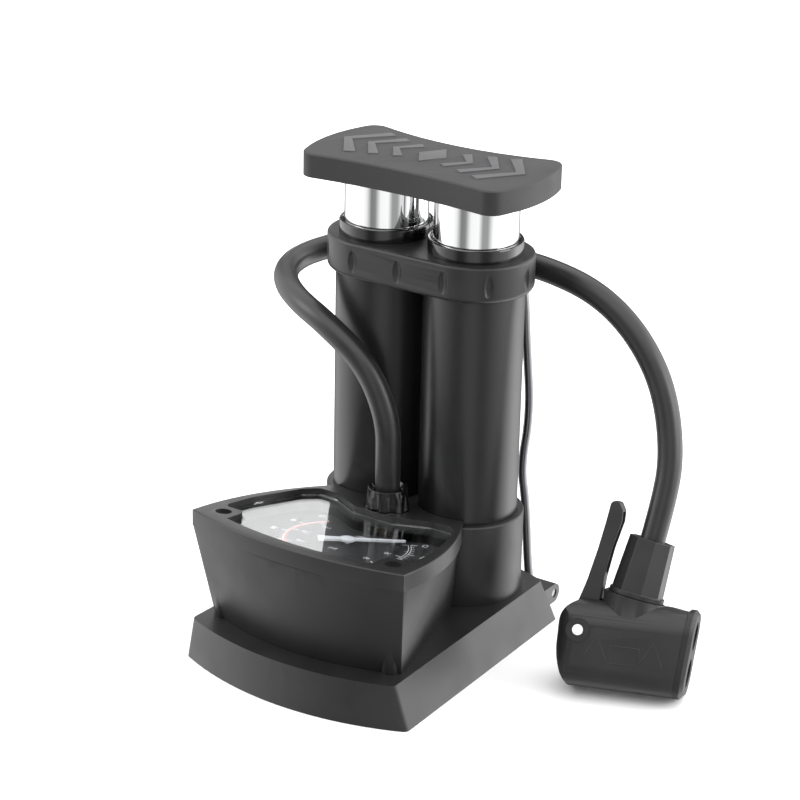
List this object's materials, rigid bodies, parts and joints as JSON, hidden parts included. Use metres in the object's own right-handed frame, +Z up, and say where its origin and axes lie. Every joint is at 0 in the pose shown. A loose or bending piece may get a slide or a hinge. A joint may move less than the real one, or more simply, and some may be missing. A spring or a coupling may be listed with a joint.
{
  "type": "foot operated bicycle pump",
  "caption": "Twin-barrel foot bicycle pump with a grey rubber treadle, dial pressure gauge, wire locking bail and hose with a lever-lock dual valve head.",
  "frame": {"origin": "on the floor, midway between the two barrels, on their common centre line", "axes": "+Z up along the barrels, +X to the side that the valve head lies on, -Y towards the gauge"},
  "size_m": [0.1952, 0.1384, 0.1867],
  "materials": {
    "rubber_grip": "matte moulded rubber, mid grey",
    "black_nylon": "matte black moulded nylon",
    "satin_black": "satin black powder coat",
    "gloss_black": "gloss black moulded plastic",
    "dark_grey": "satin dark grey moulded plastic",
    "chrome": "bright chrome plate",
    "steel": "zinc plated steel",
    "spring_steel": "oiled spring steel",
    "brass": "plain turned brass",
    "bronze": "phosphor bronze strip",
    "seal_rubber": "soft black nitrile rubber",
    "hose_rubber": "satin black rubber hose",
    "clear": "clear glossy polycarbonate",
    "dial_print": "matte black printed sheet with white and orange scales",
    "needle_white": "white painted aluminium",
    "white_nylon": "natural white nylon"
  },
  "bodies": {
    "pump": {"base_shell": "dark_grey", "base_plate": "black_nylon", "base_pads": "seal_rubber", "base_screws": "steel", "barrel_collars": "dark_grey", "barrel_left": "satin_black", "barrel_right": "satin_black", "guide_ring_left": "gloss_black", "guide_ring_right": "gloss_black", "return_spring_left": "spring_steel", "return_spring_right": "spring_steel", "outlet_valves": "seal_rubber", "top_band": "dark_grey", "gauge_housing": "black_nylon", "gauge_lid": "dark_grey", "lid_screws": "steel", "gauge_lens": "clear", "gauge_dial": "dial_print", "gauge_movement": "brass", "bourdon_coil": "bronze", "hose_barb": "brass", "hose_nut": "gloss_black", "hose": "hose_rubber", "head_body": "dark_grey", "head_end_cap": "black_nylon", "schrader_seal": "seal_rubber", "presta_seal": "seal_rubber", "hose_collar": "dark_grey", "lever_pin": "white_nylon"},
    "pedal": {"piston_tube_left": "chrome", "piston_tube_right": "chrome", "piston_left": "white_nylon", "piston_right": "white_nylon", "piston_seal_left": "seal_rubber", "piston_seal_right": "seal_rubber", "inlet_valves": "seal_rubber", "pedal_cover": "rubber_grip", "pedal_core": "black_nylon", "latch_catch": "steel", "catch_screws": "steel"},
    "bail": {"locking_bail": "spring_steel"},
    "needle": {"gauge_needle": "needle_white"},
    "lever": {"head_lever": "dark_grey"},
    "plunger": {"head_plunger": "white_nylon"}
  },
  "joints": [
    {"name": "pedal_slide", "type": "slide", "parent": "pump", "child": "pedal", "axis": [0, 0, 1], "range_m": [-0.0165, 0.05], "deforming": ["return_spring_left", "return_spring_right"]},
    {"name": "bail_hinge", "type": "hinge", "parent": "pump", "child": "bail", "pos_m": [0, 0.03, 0.008], "axis": [1, 0, 0], "range_deg": [-78, 1.85]},
    {"name": "needle_hinge", "type": "hinge", "parent": "pump", "child": "needle", "pos_m": [0, -0.05187, 0.04757], "axis": [0, -0.1299, -0.9915], "range_deg": [0, 259], "stiffness_Nm_per_rad": 0.0002},
    {"name": "lever_hinge", "type": "hinge", "parent": "pump", "child": "lever", "pos_m": [0.08043, -0.01303, 0.02201], "axis": [0.3171, -0.8713, 0.3746], "range_deg": [0, 85]},
    {"name": "plunger_slide", "type": "slide", "parent": "pump", "child": "plunger", "axis": [0.9397, 0.342, 0], "range_m": [0, 0.0016]}
  ],
  "couplings": [
    {"joint": "plunger_slide", "follows": "lever_hinge", "m_per_rad": 0.00101}
  ]
}
